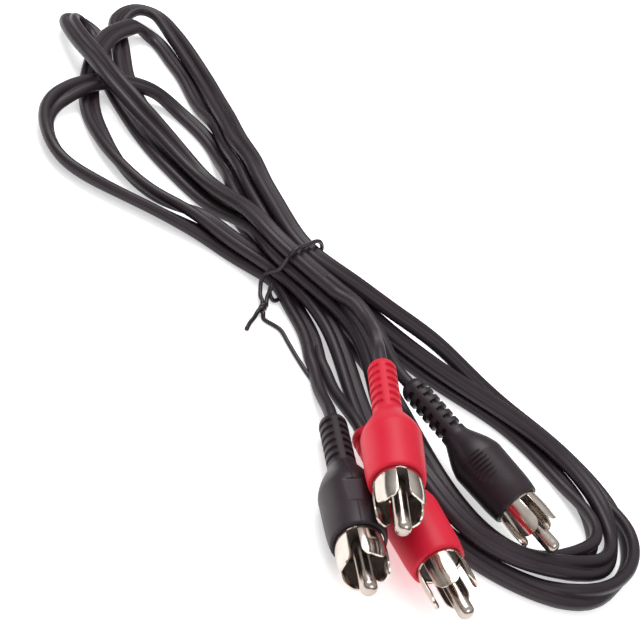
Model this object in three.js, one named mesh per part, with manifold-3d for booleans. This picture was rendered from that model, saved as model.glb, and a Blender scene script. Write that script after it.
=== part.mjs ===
// RCA audio cable: a flat twin cord folded into a hank and held by a wire twist tie. At each end the
// cord splits into two single legs, and each leg carries a moulded plug.
// Millimetres, +Z up, the surface that the cable lies on is z = 0.

import * as THREE from "three";
import { mergeVertices } from "three/addons/utils/BufferGeometryUtils.js";
import Module from "manifold-3d";

const wasm = await Module();
wasm.setup();

// Clearance between pieces that touch
const GAP = 0.3;
// How far a cutting shape runs past the face that it cuts
const OVERRUN = 2;

// Cord: each lead is a round, and two of them side by side make the flat twin cord
const LEAD = 2.8;
const TWIN_WIDTH = 2 * LEAD;
// Height of the flat edge of the twin cord's section, and width of its flat top
const TWIN_EDGE = 1.1;
const TWIN_TOP = 4;
const LEAD_SIDES = 8;

// Boot: strain relief, shoulder, body and rim, from the cord's end to the front face
const RELIEF_RADIUS = 3;
const RELIEF_END_RADIUS = 2;
const RELIEF_NOSE = 2;
const RELIEF_LENGTH = 16.3;
const SHOULDER_LENGTH = 7.6;
const BODY_RADIUS = 6;
const BODY_LENGTH = 9.6;
const BODY_TAPER = 0.25;
const RIM_LENGTH = 3.5;
const RIM_WALL = 0.45;
const BOOT_LENGTH = RELIEF_LENGTH + SHOULDER_LENGTH + BODY_LENGTH + RIM_LENGTH;
const BOOT_SIDES = 28;
const CORD_INSERT = 8;
const CORD_STOP = 12;
const CAVITY_RADIUS = 3.7;

// Slots of the strain relief, in two rows with a spine between them above and below
const SLOT_COUNT = 6;
const SLOT_WIDTH = 1.05;
const SLOT_PITCH = 2.25;
const SLOT_START = 3.1;
const SPINE_WIDTH = 1.4;
const SLOT_FLOOR_DEEP = 2.4;
const SLOT_FLOOR_SHALLOW = 2.5;

// Marks on the body: an oval field of grip grooves on one plug, and a flat panel on another
const GROOVE_COUNT = 9;
const GROOVE_WIDTH = 0.5;
const GROOVE_PITCH = 1.05;
const GROOVE_DEPTH = 0.55;
const GROOVE_END_DEPTH = 0.3;
const GROOVE_MIDDLE = 26.8;
const PANEL_LENGTH = 6;
const PANEL_DEPTH = 0.35;
const PANEL_MIDDLE = 28.4;

// Ground shell: a cup with four sprung petals
const SHELL_RADIUS = 4.6;
const SHELL_WALL = 0.4;
const SHELL_LENGTH = 7.4;
const SHELL_SEAT = 3.8;
const SHELL_BASE = 0.8;
const SHELL_SIDES = 32;
const PETALS = 4;
const ROUND_STEPS = 6;
const PETAL_LENGTH = 7.1;
const PETAL_SLOT = 2;
const PETAL_ROUND = 2.1;
const TAB_WIDTH = 2;
const TAB_THICKNESS = 0.6;
const TAB_LENGTH = 4;
const TAB_HOLE_RADIUS = 2.2;

// Insulator and centre pin
const INSULATOR_LENGTH = 2.9;
const PIN_RADIUS = 1.6;
const PIN_REACH = 4.9;
const PIN_NOSE = 1.1;
const PIN_TIP_RADIUS = 0.7;
const SHANK_RADIUS = 1;
const SHANK_LENGTH = 8.5;
const PIN_SIDES = 20;

// Conductors inside the boot
const CORE_RADIUS = 0.5;
const SHIELD_RADIUS = 0.4;
const SHIELD_OFFSET = 1;
const CONDUCTOR_SIDES = 8;

// Twist tie
const WIRE_RADIUS = 0.4;
const WIRE_LIFT = 0.08;
const TWIST_TURNS = 3;
const TWIST_GAP = 0.1;
const TWIST_STEPS = 4;
const TIE_X = -12;
const TIE_SLACK = 0.4;

// Places of the eight runs of cord where the tie holds them: two columns, four layers
const NEAR_Y = -2.8;
const FAR_Y = 3.1;
const LAYER_Z = 2.5;
const LAYER_PITCH = 3;

// The origin on the surface below: the middle of the box round the four plugs and the tie
const ORIGIN_X = 29.96;
const ORIGIN_Y = -35.56;

const near = (layer) => [TIE_X, NEAR_Y, LAYER_Z + LAYER_PITCH * layer, 0];
const far = (layer) => [TIE_X, FAR_Y, LAYER_Z + LAYER_PITCH * layer, 0];

// Runs of the hank in order along the cord. A point is x, y, z and the lean of the flat side in degrees.
const RUNS = [
  {
    name: "cord_upper_end",
    points: [[-2, -3.6, 11.4, 0], near(3)],
  },
  {
    name: "cord_left_fold",
    points: [
      near(3), [-20, -1, 11.3, 0], [-27, 2.6, 10.4, 0], [-34, 6.2, 8.4, 0], [-41, 9, 6.2, 0],
      [-48, 11.5, 5, 0], [-55, 13.1, 5.3, -15], [-61.5, 14, 6.2, -25], [-67, 14.2, 7.2, -35],
      [-71.5, 14.3, 8, -40], [-76, 15.2, 8.5, -40], [-80.5, 16.4, 8.7, -40], [-85, 18.1, 8.8, -40],
      [-90, 20.6, 8.7, -40], [-95.5, 23.6, 8.1, -40], [-101.5, 27.4, 7, -40], [-107, 31.4, 6.2, -40],
      [-111.5, 35.6, 5.2, -40], [-113.6, 40.4, 4.2, -30], [-112, 44.8, 2.9, -15], [-107.4, 45.6, 1.8, 0],
      [-102, 41.6, 1.5, 0], [-96.8, 35.4, 1.5, 0], [-90.6, 29.6, 1.5, 0], [-83.4, 24.4, 1.5, 0],
      [-75.6, 19.7, 1.5, 0], [-67.8, 15.6, 1.5, 0], [-60, 12.6, 1.5, 0], [-53, 10.8, 1.5, 0],
      [-46, 9.4, 1.5, 0], [-38.5, 7.8, 2.5, 0], [-31, 5.4, 5.4, 0], [-25, 2.4, 7.5, 0],
      [-18.5, -1.6, 8.5, 0], near(2),
    ],
  },
  {
    name: "cord_right_middle",
    points: [
      near(2), [0, -3.4, 8.1, 0], [10, -6.1, 7.4, 0], [19, -11.8, 5, 0], [27, -18.9, 2.6, 0],
      [36, -26.2, 3.2, 0], [43, -31.5, 4.4, 0], [50, -35.2, 4.6, 0], [58, -36.8, 4.6, 0],
      [67, -34.2, 4.8, 0], [75, -28.2, 4.8, 5], [81.3, -20.5, 4.4, 35], [84.8, -12, 3.3, 50],
      [84.4, -4, 2.9, 50], [79.6, 3.2, 4.2, 10], [72.5, 8.6, 4.6, 0], [62, 12, 4.6, 0], [50, 12, 4.6, 0],
      [38, 9.5, 4.8, 0], [26, 7, 5.3, 0], [14, 5, 6.4, 0], [2, 3.6, 7.9, 0], far(2),
    ],
  },
  {
    name: "cord_left_upper_inner",
    points: [
      far(2), [-22, 7.6, 8.2, 0], [-30, 13, 8, 0], [-37, 18.6, 7.7, 0], [-44.2, 25.6, 7.1, 0],
      [-52, 33.2, 5.3, 0], [-60.5, 41, 4.4, 0], [-65.5, 45.4, 2.8, 0], [-71, 49.8, 1.6, 0],
      [-79, 56, 1.5, 0], [-84.2, 59.8, 1.5, 0], [-90.3, 64.2, 1.5, 0], [-96.5, 68, 1.5, 0],
      [-101.2, 68.8, 1.7, 0], [-104.6, 66.4, 2.7, 0], [-105.4, 62, 4.4, 0], [-104.9, 57.4, 4.7, 0],
      [-104.4, 51.6, 4.6, 0], [-103.3, 45.8, 4.6, 0], [-101.3, 39.6, 4.6, 0], [-98.2, 32.6, 4.6, 0],
      [-95, 27, 4.2, 0], [-92, 22.6, 2, 0], [-88.6, 18, 1.5, 0], [-83.4, 11.6, 1.5, 0],
      [-78, 6.4, 1.5, 0], [-72.5, 2.1, 1.9, -10], [-66.7, -1.8, 2.3, -25], [-60.6, -4.5, 2.5, -40],
      [-54.2, -6, 2.7, -45], [-48, -5.6, 2.9, -45], [-42, -4.6, 4, -30], [-36.5, -4.2, 5, -5],
      [-30, -3.8, 4.9, 0], [-23, -3.3, 5.1, 0], near(1),
    ],
  },
  {
    name: "cord_right_outer",
    points: [
      near(1), [-3, -4.2, 5.1, 0], [5, -8.2, 4.6, 0], [13, -14.3, 3.2, 0], [21, -21.6, 1.9, 0],
      [29.5, -29, 1.5, 0], [38, -35, 1.5, 0], [47, -38.6, 1.5, 0], [57, -39.8, 1.5, 0],
      [68, -37.6, 1.6, 0], [77.8, -32.7, 2, 15], [85.5, -24.7, 2.9, 60], [88.9, -15, 2.9, 90],
      [89.8, -6, 2.9, 90], [87, 3.6, 2.9, 75], [80.5, 11.2, 2.1, 20], [70.5, 16.6, 1.5, 0],
      [60, 18.8, 1.5, 0], [48, 18.5, 1.9, 0], [36, 16, 4.4, 0], [24, 12, 8, 0], [12, 7.4, 10, 0],
      [0, 4.2, 11.3, 0], far(3),
    ],
  },
  {
    name: "cord_left_upper_outer",
    points: [
      far(3), [-23, 9.4, 11.1, 0], [-30, 15, 10.8, 0], [-36.6, 20.2, 10.7, 0], [-43, 26.6, 10.1, 0],
      [-50, 33.2, 8.7, 0], [-57.4, 41.2, 7.6, 0], [-65.9, 50, 5.9, 0], [-74, 57.8, 4.6, 0],
      [-82, 63.6, 4.5, 0], [-91, 69, 4.5, 0], [-97.5, 72.7, 4.6, 0], [-103, 75, 4.9, 0],
      [-107.6, 75.9, 4.9, 5], [-111.4, 74.2, 4.5, 15], [-113, 70.3, 3.6, 20], [-112.6, 65.8, 2.4, 15],
      [-110.9, 61.4, 1.6, 0], [-107, 56.4, 1.5, 0], [-102.3, 51.2, 1.5, 0], [-97.1, 45.2, 1.5, 0],
      [-92.1, 39.4, 1.5, 0], [-86.5, 34.2, 1.5, 0], [-80, 29.6, 1.5, 0], [-73, 25.2, 1.5, 0],
      [-66, 21.6, 1.5, 0], [-58, 18.9, 1.5, 0], [-50, 17.6, 1.5, 0], [-44, 16.6, 1.5, 0],
      [-37.5, 14.4, 1.5, 0], [-30, 10.8, 1.6, 0], [-21, 5.5, 2.2, 0], far(0),
    ],
  },
  {
    name: "cord_right_inner",
    points: [
      far(0), [0, 2.4, 1.7, 0], [10, -1.5, 1.5, 0], [20, -6.6, 1.5, 0], [30, -13.6, 1.5, 0],
      [40, -21.4, 1.5, 0], [50, -27.6, 1.5, 0], [60, -30.4, 1.5, 0], [69, -28.2, 1.5, 0],
      [75.6, -22, 1.8, 10], [79.8, -14.3, 2.7, 50], [80.6, -7, 2.9, 75], [77, 0, 2.7, 50],
      [70.6, 5.6, 1.9, 10], [62, 9.6, 1.5, 0], [50, 11.8, 1.5, 0], [36, 9.5, 1.6, 0], [20, 6, 2.5, 0],
      [4, 3.8, 4.6, 0], far(1),
    ],
  },
  {
    name: "cord_left_lower",
    points: [
      far(1), [-22, 6.9, 5.3, 0], [-30, 11.9, 4.9, 0], [-37, 16.2, 4.6, 0], [-41.5, 20, 4.4, 0],
      [-45.3, 24.4, 3.6, 0], [-49.5, 29, 2.2, 0], [-54.8, 33.9, 1.5, 0], [-59.8, 36.6, 1.5, 0],
      [-64.8, 38.1, 1.5, 0], [-69.8, 38.8, 1.6, 0], [-74.4, 38.2, 2.4, 0], [-78.2, 36, 3.8, 0],
      [-81, 32.8, 4.6, 0], [-84.2, 29, 4.6, 0], [-86.4, 24.6, 4.6, 0], [-87.3, 19.4, 4.6, 0],
      [-87.4, 14.2, 4.8, 0], [-87.2, 8.8, 4.7, -10], [-86.7, 3.2, 4.1, -25], [-85.9, -1.6, 3.3, -40],
      [-84.3, -5.5, 2.8, -45], [-82.3, -8.8, 2.7, -50], [-79.9, -11.6, 2.7, -50], [-77.4, -14, 2.7, -50],
      [-74.6, -16, 2.6, -45], [-71, -17.9, 2.5, -40], [-67, -18.6, 2.4, -35], [-61, -17.5, 2.4, -35],
      [-54, -14.6, 2.3, -30], [-47.3, -11.6, 2.3, -30], [-41, -8.8, 2.2, -25], [-35, -6, 2, -10],
      [-29, -4.2, 1.7, 0], [-21, -3, 2, 0], near(0),
    ],
  },
  {
    name: "cord_lower_end",
    points: [near(0), [-6.5, -5.4, 1.7, 0], [-2, -8.2, 1.5, 0], [2.5, -12, 1.5, 0]],
  },
];

// Plugs: colour, depth of the slots, mark on the body, rear end of the boot, heading and rise in
// degrees, spin about its own axis, turn of the petals on the shell, the end of the cord that its leg
// leaves, the side of it (1 is left as seen along the leg), and the leg's route
const PLUGS = [
  {
    name: "front_red",
    colour: 0xef4356,
    slotFloor: SLOT_FLOOR_SHALLOW,
    mark: "none",
    rear: [20.4, -28.7, 18.2],
    heading: -59.3,
    rise: 0,
    spin: 31,
    petalTurn: -55,
    end: "upper",
    side: -1,
    leg: [[5, -6.2, 12.5], [9.2, -8.9, 13.1], [13.6, -14, 14.5], [16.6, -20.2, 16.3]],
  },
  {
    name: "rear_red",
    colour: 0xec364b,
    slotFloor: SLOT_FLOOR_SHALLOW,
    mark: "none",
    rear: [26.6, -34, 4.7],
    heading: -40.5,
    rise: 5,
    spin: 48,
    petalTurn: 0,
    end: "lower",
    side: 1,
    leg: [[7.8, -16.2, 1.5], [12.8, -21.6, 1.6], [18, -27, 2.6]],
  },
  {
    name: "left_black",
    colour: 0x453b43,
    slotFloor: SLOT_FLOOR_SHALLOW,
    mark: "panel",
    rear: [20.3, -37, 4.2],
    heading: -56.7,
    rise: 5.3,
    spin: 24,
    petalTurn: -22,
    end: "lower",
    side: -1,
    leg: [[5, -17.6, 1.5], [9.4, -23, 1.5], [14.4, -28.8, 2.4]],
  },
  {
    name: "right_black",
    colour: 0x453b43,
    slotFloor: SLOT_FLOOR_DEEP,
    mark: "grooves",
    rear: [26.5, -11.9, 8.3],
    heading: -20.4,
    rise: 0.2,
    spin: 58,
    petalTurn: 14,
    end: "upper",
    side: 1,
    leg: [[5, -2.2, 11.2], [11, -4.2, 10.7], [17.4, -7.6, 9.7]],
  },
];

const CORD_COLOUR = 0x423b42;
const TIE_COLOUR = 0x3b3038;

const rubber = (color) => new THREE.MeshStandardMaterial({ color, roughness: 0.55, metalness: 0 });
const nickel = () => new THREE.MeshStandardMaterial({ color: 0xd8d4cf, roughness: 0.2, metalness: 1 });
const plastic = () => new THREE.MeshStandardMaterial({ color: 0x5a5350, roughness: 0.5, metalness: 0 });
const copper = () => new THREE.MeshStandardMaterial({ color: 0xb87346, roughness: 0.35, metalness: 1 });

// A closed geometry as a solid that can be cut and joined
function solid(geometry) {
  const plain = geometry.clone();
  plain.deleteAttribute("normal");
  plain.deleteAttribute("uv");
  const merged = mergeVertices(plain, 1e-4);
  const vertProperties = new Float32Array(merged.attributes.position.array);
  const triVerts = new Uint32Array(merged.index.array);
  return new wasm.Manifold(new wasm.Mesh({ numProp: 3, vertProperties, triVerts }));
}

function geometryOf(body) {
  const { vertProperties, triVerts } = body.getMesh();
  const geometry = new THREE.BufferGeometry();
  geometry.setAttribute("position", new THREE.BufferAttribute(new Float32Array(vertProperties), 3));
  geometry.setIndex(new THREE.BufferAttribute(new Uint32Array(triVerts), 1));
  geometry.computeVertexNormals();
  return geometry;
}

function piece(name, geometry, material) {
  const mesh = new THREE.Mesh(geometry, material);
  mesh.name = name;
  return mesh;
}

// A turned shape about Y from a profile of [radius, distance along the axis]
const turned = (profile, sides) =>
  new THREE.LatheGeometry(profile.map(([r, y]) => new THREE.Vector2(r, y)), sides);

// A round bar along Y between two distances
const bar = (radius, from, to, sides) =>
  turned([[0, from], [radius, from], [radius, to], [0, to]], sides);

function block(width, length, depth, x, y, z) {
  return new THREE.BoxGeometry(width, length, depth).translate(x, y, z);
}

// A regular outline of a given radius, for round cords and wires
function roundSection(radius, sides) {
  const points = [];
  for (let i = 0; i < sides; i++) {
    const angle = (2 * Math.PI * i) / sides;
    points.push(new THREE.Vector2(radius * Math.cos(angle), radius * Math.sin(angle)));
  }
  return new THREE.Shape(points);
}

function twinSection() {
  const w = TWIN_WIDTH / 2;
  const e = TWIN_EDGE / 2;
  const t = TWIN_TOP / 2;
  const h = LEAD / 2;
  const outline = [[w, -e], [w, e], [t, h], [-t, h], [-w, e], [-w, -e], [-t, -h], [t, -h]];
  return new THREE.Shape(outline.map(([x, y]) => new THREE.Vector2(x, y)));
}

// A route for a flat cord: one section at each chosen point, lying flat apart from its lean
class FlatRoute extends THREE.Curve {
  constructor(points, startDirection, endDirection) {
    super();
    this.centres = points.map(([x, y, z]) => new THREE.Vector3(x, y, z));
    const last = points.length - 1;
    this.frames = { tangents: [], normals: [], binormals: [] };
    points.forEach((point, i) => {
      const before = this.centres[Math.max(i - 1, 0)];
      const after = this.centres[Math.min(i + 1, last)];
      let tangent = after.clone().sub(before).normalize();
      if (i === 0 && startDirection) tangent = startDirection.clone();
      if (i === last && endDirection) tangent = endDirection.clone();
      const left = new THREE.Vector3(0, 0, 1).cross(tangent).normalize();
      const across = left.applyAxisAngle(tangent, THREE.MathUtils.degToRad(point[3]));
      this.frames.tangents.push(tangent);
      this.frames.normals.push(across);
      this.frames.binormals.push(tangent.clone().cross(across));
    });
  }
  getSpacedPoints() {
    return this.centres;
  }
  computeFrenetFrames() {
    return this.frames;
  }
}

// A round cord or wire through chosen points
function roundRoute(points, radius, sides, stepsPerPoint) {
  const curve = new THREE.CatmullRomCurve3(points, false, "centripetal");
  return new THREE.ExtrudeGeometry(roundSection(radius, sides), {
    extrudePath: curve,
    steps: (points.length - 1) * stepsPerPoint,
  });
}

const cable = new THREE.Group();

// Runs of the twin cord
const towardsLeft = new THREE.Vector3(-1, 0, 0);
const towardsRight = new THREE.Vector3(1, 0, 0);
const splits = {};
for (const run of RUNS) {
  const points = run.points.map((point) => [...point]);
  const last = points.length - 1;
  const startsAtTie = points[0][0] === TIE_X;
  const endsAtTie = points[last][0] === TIE_X;
  const startDirection = points[1][0] < points[0][0] ? towardsLeft : towardsRight;
  const endDirection = points[last][0] < points[last - 1][0] ? towardsLeft : towardsRight;
  if (startsAtTie) points[0][0] += (startDirection.x * GAP) / 2;
  if (endsAtTie) points[last][0] -= (endDirection.x * GAP) / 2;
  const route = new FlatRoute(points, startsAtTie && startDirection, endsAtTie && endDirection);
  const geometry = new THREE.ExtrudeGeometry(twinSection(), { extrudePath: route, steps: last });
  cable.add(piece(run.name, geometry, rubber(CORD_COLOUR)));
  if (!startsAtTie) {
    splits.upper = {
      centre: route.centres[0],
      along: route.frames.tangents[0].clone().negate(),
      left: route.frames.normals[0].clone().negate(),
    };
  }
  if (!endsAtTie) {
    splits.lower = {
      centre: route.centres[last],
      along: route.frames.tangents[last],
      left: route.frames.normals[last],
    };
  }
}

// Distances along a plug from the rear end of its boot
const shoulderEnd = RELIEF_LENGTH + SHOULDER_LENGTH;
const rimStart = BOOT_LENGTH - RIM_LENGTH;
const shellStart = BOOT_LENGTH - SHELL_SEAT;
const shellFront = BOOT_LENGTH + SHELL_LENGTH;
const shellInner = SHELL_RADIUS - SHELL_WALL;
const insulatorStart = shellStart + SHELL_BASE + GAP;
const insulatorFront = insulatorStart + INSULATOR_LENGTH;
const pinStart = insulatorFront + GAP;
const pinFront = shellFront + PIN_REACH;
const shankStart = pinStart - SHANK_LENGTH;
const shellBore = SHELL_RADIUS + GAP;
const rimRadius = shellBore + RIM_WALL;
const cordBore = LEAD / 2 + GAP;
const tabX = CAVITY_RADIUS - GAP - TAB_THICKNESS / 2;
const tabStart = shellStart - TAB_LENGTH;

// What the mould sinks into the body above its spine
function markShapes(mark) {
  const cutter = (length, depth, y) =>
    solid(block(2 * BODY_RADIUS, length, 2 * OVERRUN, 0, y, BODY_RADIUS - depth + OVERRUN));
  if (mark === "panel") return [cutter(PANEL_LENGTH, PANEL_DEPTH, PANEL_MIDDLE)];
  if (mark !== "grooves") return [];
  const shapes = [];
  const middle = (GROOVE_COUNT - 1) / 2;
  for (let i = 0; i < GROOVE_COUNT; i++) {
    const share = ((i - middle) / middle) ** 2;
    const depth = GROOVE_DEPTH + (GROOVE_END_DEPTH - GROOVE_DEPTH) * share;
    shapes.push(cutter(GROOVE_WIDTH, depth, GROOVE_MIDDLE + GROOVE_PITCH * (i - middle)));
  }
  return shapes;
}

function bootGeometry(slotFloor, mark) {
  const bodyFrontRadius = BODY_RADIUS - BODY_TAPER;
  const outside = [
    [0, 0],
    [RELIEF_END_RADIUS, 0],
    [RELIEF_END_RADIUS + (RELIEF_RADIUS - RELIEF_END_RADIUS) * 0.75, RELIEF_NOSE * 0.5],
    [RELIEF_RADIUS, RELIEF_NOSE],
    [RELIEF_RADIUS, RELIEF_LENGTH],
    [RELIEF_RADIUS + (BODY_RADIUS - RELIEF_RADIUS) * 0.3, RELIEF_LENGTH + SHOULDER_LENGTH * 0.25],
    [RELIEF_RADIUS + (BODY_RADIUS - RELIEF_RADIUS) * 0.8, RELIEF_LENGTH + SHOULDER_LENGTH * 0.7],
    [BODY_RADIUS, shoulderEnd],
    [bodyFrontRadius, rimStart],
    [(bodyFrontRadius * 2 + rimRadius) / 3, (rimStart + BOOT_LENGTH) / 2],
    [rimRadius, BOOT_LENGTH],
    [0, BOOT_LENGTH],
  ];
  let boot = solid(turned(outside, BOOT_SIDES));
  boot = boot.subtract(solid(bar(cordBore, -OVERRUN, CORD_STOP + OVERRUN, LEAD_SIDES * 2)));
  const cavity = turned(
    [
      [0, CORD_STOP],
      [cordBore, CORD_STOP],
      [CAVITY_RADIUS, shoulderEnd],
      [CAVITY_RADIUS, shellStart - GAP],
      [shellBore, shellStart - GAP],
      [shellBore, BOOT_LENGTH + OVERRUN],
      [0, BOOT_LENGTH + OVERRUN],
    ],
    SHELL_SIDES,
  );
  boot = boot.subtract(solid(cavity));
  const core = solid(bar(slotFloor, 0, RELIEF_LENGTH, BOOT_SIDES));
  for (let i = 0; i < SLOT_COUNT; i++) {
    const y = SLOT_START + SLOT_PITCH * i;
    for (const side of [-1, 1]) {
      const x = side * (SPINE_WIDTH / 2 + RELIEF_RADIUS);
      const slot = solid(block(2 * RELIEF_RADIUS, SLOT_WIDTH, 3 * RELIEF_RADIUS, x, y, 0));
      boot = boot.subtract(slot.subtract(core));
    }
  }
  for (const shape of markShapes(mark)) boot = boot.subtract(shape);
  return geometryOf(boot);
}

// The space between two petals: a slot that opens out where their ends are rounded
function petalGap() {
  const half = PETAL_SLOT / 2;
  const wide = half + PETAL_ROUND;
  const roundStart = shellFront - PETAL_ROUND;
  const outline = new THREE.Shape();
  outline.moveTo(-half, shellFront - PETAL_LENGTH);
  outline.lineTo(-half, roundStart);
  outline.absarc(-wide, roundStart, PETAL_ROUND, 0, Math.PI / 2, false);
  outline.lineTo(-wide, shellFront + OVERRUN);
  outline.lineTo(wide, shellFront + OVERRUN);
  outline.lineTo(wide, shellFront);
  outline.absarc(wide, roundStart, PETAL_ROUND, Math.PI / 2, Math.PI, false);
  outline.lineTo(half, shellFront - PETAL_LENGTH);
  const depth = SHELL_RADIUS + OVERRUN;
  return new THREE.ExtrudeGeometry(outline, { depth, bevelEnabled: false, curveSegments: ROUND_STEPS });
}

function shellGeometry(petalTurn) {
  const profile = [
    [TAB_HOLE_RADIUS, shellStart],
    [SHELL_RADIUS, shellStart],
    [SHELL_RADIUS, shellFront],
    [shellInner, shellFront],
    [shellInner, shellStart + SHELL_BASE],
    [TAB_HOLE_RADIUS, shellStart + SHELL_BASE],
    [TAB_HOLE_RADIUS, shellStart],
  ];
  let shell = solid(turned(profile, SHELL_SIDES));
  const tabLength = TAB_LENGTH + SHELL_BASE / 2;
  shell = shell.add(
    solid(block(TAB_THICKNESS, tabLength, TAB_WIDTH, tabX, tabStart + tabLength / 2, 0)),
  );
  for (let i = 0; i < PETALS; i++) {
    const gap = petalGap();
    gap.rotateY((2 * Math.PI * (i + 0.5)) / PETALS + THREE.MathUtils.degToRad(petalTurn));
    shell = shell.subtract(solid(gap));
  }
  return geometryOf(shell);
}

function insulatorGeometry() {
  const hole = SHANK_RADIUS + GAP;
  const radius = shellInner - GAP;
  return turned(
    [
      [hole, insulatorStart],
      [radius, insulatorStart],
      [radius, insulatorFront],
      [hole, insulatorFront],
      [hole, insulatorStart],
    ],
    SHELL_SIDES,
  );
}

function pinGeometry() {
  return turned(
    [
      [0, shankStart],
      [SHANK_RADIUS, shankStart],
      [SHANK_RADIUS, pinStart],
      [PIN_RADIUS, pinStart],
      [PIN_RADIUS, pinFront - PIN_NOSE],
      [PIN_RADIUS * 0.85, pinFront - PIN_NOSE / 2],
      [PIN_TIP_RADIUS, pinFront],
      [0, pinFront],
    ],
    PIN_SIDES,
  );
}

// The shield tail runs aslant from beside the core to the solder tab
function shieldGeometry() {
  const start = new THREE.Vector3(SHIELD_OFFSET, CORD_INSERT + GAP, 0);
  const end = new THREE.Vector3(tabX - SHIELD_RADIUS, tabStart - GAP, 0);
  return new THREE.ExtrudeGeometry(roundSection(SHIELD_RADIUS, CONDUCTOR_SIDES), {
    extrudePath: new THREE.LineCurve3(start, end),
    steps: 1,
  });
}

for (const plug of PLUGS) {
  const heading = new THREE.Group();
  heading.position.set(...plug.rear);
  heading.rotation.z = THREE.MathUtils.degToRad(plug.heading - 90);
  const rise = new THREE.Group();
  rise.rotation.x = THREE.MathUtils.degToRad(plug.rise);
  const spin = new THREE.Group();
  spin.rotation.y = THREE.MathUtils.degToRad(plug.spin);
  heading.add(rise);
  rise.add(spin);
  cable.add(heading);
  const core = bar(CORE_RADIUS, CORD_INSERT + GAP, shankStart - GAP, CONDUCTOR_SIDES);
  spin.add(
    piece(plug.name + "_boot", bootGeometry(plug.slotFloor, plug.mark), rubber(plug.colour)),
    piece(plug.name + "_shell", shellGeometry(plug.petalTurn), nickel()),
    piece(plug.name + "_insulator", insulatorGeometry(), plastic()),
    piece(plug.name + "_pin", pinGeometry(), nickel()),
    piece(plug.name + "_core", core, copper()),
    piece(plug.name + "_shield", shieldGeometry(), copper()),
  );

  // Its leg, from one half of the split cord to the stop inside the boot
  const degrees = THREE.MathUtils.degToRad;
  const axis = new THREE.Vector3(
    Math.cos(degrees(plug.rise)) * Math.cos(degrees(plug.heading)),
    Math.cos(degrees(plug.rise)) * Math.sin(degrees(plug.heading)),
    Math.sin(degrees(plug.rise)),
  );
  const split = splits[plug.end];
  const rear = new THREE.Vector3(...plug.rear);
  const start = split.centre.clone().addScaledVector(split.left, (plug.side * LEAD) / 2);
  const points = [
    start.clone().addScaledVector(split.along, GAP),
    start.clone().addScaledVector(split.along, LEAD),
    ...plug.leg.map((p) => new THREE.Vector3(...p)),
    rear.clone().addScaledVector(axis, -LEAD),
    rear.clone(),
    rear.clone().addScaledVector(axis, CORD_INSERT),
  ];
  const leg = roundRoute(points, LEAD / 2, LEAD_SIDES, 2);
  cable.add(piece(plug.name + "_leg", leg, rubber(CORD_COLOUR)));
}

// Twist tie: one wire from its short tail, through the twist, round the bundle and back through the
// twist to its long tail
const reach = LEAD + TIE_SLACK + WIRE_RADIUS;
const nearSide = NEAR_Y - reach;
const farSide = FAR_Y + reach;
const under = WIRE_RADIUS + WIRE_LIFT;
const over = near(3)[2] + LEAD / 2 + TIE_SLACK + WIRE_RADIUS;
const twistRadius = WIRE_RADIUS + TWIST_GAP / 2;
const twistStart = new THREE.Vector3(-11.4, nearSide - 2, under + twistRadius + WIRE_LIFT);
const twistEnd = new THREE.Vector3(-10, nearSide - 8, under + twistRadius + WIRE_LIFT);

function twistPoints(phase, outwards) {
  const count = TWIST_TURNS * TWIST_STEPS;
  const along = twistEnd.clone().sub(twistStart);
  const side = new THREE.Vector3(0, 0, 1).cross(along).normalize();
  const points = [];
  for (let i = 0; i <= count; i++) {
    const share = outwards ? i / count : 1 - i / count;
    const angle = phase + 2 * Math.PI * TWIST_TURNS * share;
    points.push(
      twistStart
        .clone()
        .addScaledVector(along, share)
        .addScaledVector(side, twistRadius * Math.cos(angle))
        .add(new THREE.Vector3(0, 0, twistRadius * Math.sin(angle))),
    );
  }
  return points;
}

const tiePoints = [
  new THREE.Vector3(-8.5, -25, under),
  new THREE.Vector3(-9.4, -20.5, under),
  ...twistPoints(0, false),
  new THREE.Vector3(-12.4, nearSide - 0.6, 3),
  new THREE.Vector3(-12.6, nearSide, 7),
  new THREE.Vector3(-12.6, nearSide, over - 1.6),
  new THREE.Vector3(-12.4, nearSide + 1.3, over),
  new THREE.Vector3(-11.4, 0, over),
  new THREE.Vector3(-10.6, farSide - 1.3, over),
  new THREE.Vector3(-10.5, farSide, over - 1.6),
  new THREE.Vector3(-10.6, farSide, 7),
  new THREE.Vector3(-10.8, farSide, under + 1.4),
  new THREE.Vector3(-10.9, farSide - 1.2, under + 0.25),
  new THREE.Vector3(-10.9, farSide - 3, under),
  new THREE.Vector3(-11, 0, under),
  new THREE.Vector3(-11, nearSide + 0.4, under),
  ...twistPoints(Math.PI, true),
  new THREE.Vector3(-7.6, -16.6, under),
  new THREE.Vector3(-3.6, -17.6, under),
  new THREE.Vector3(2.4, -21.4, under),
  new THREE.Vector3(8.6, -25.6, under),
];
cable.add(piece("twist_tie", roundRoute(tiePoints, WIRE_RADIUS, LEAD_SIDES, 2), rubber(TIE_COLOUR)));
cable.position.set(-ORIGIN_X, -ORIGIN_Y, 0);

export default cable;
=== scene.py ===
# RCA audio cable: the looks of the cord, its legs, the tie and the four plugs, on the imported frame.
import math

import bpy
import numpy as np
from mathutils import Matrix, Vector


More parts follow.
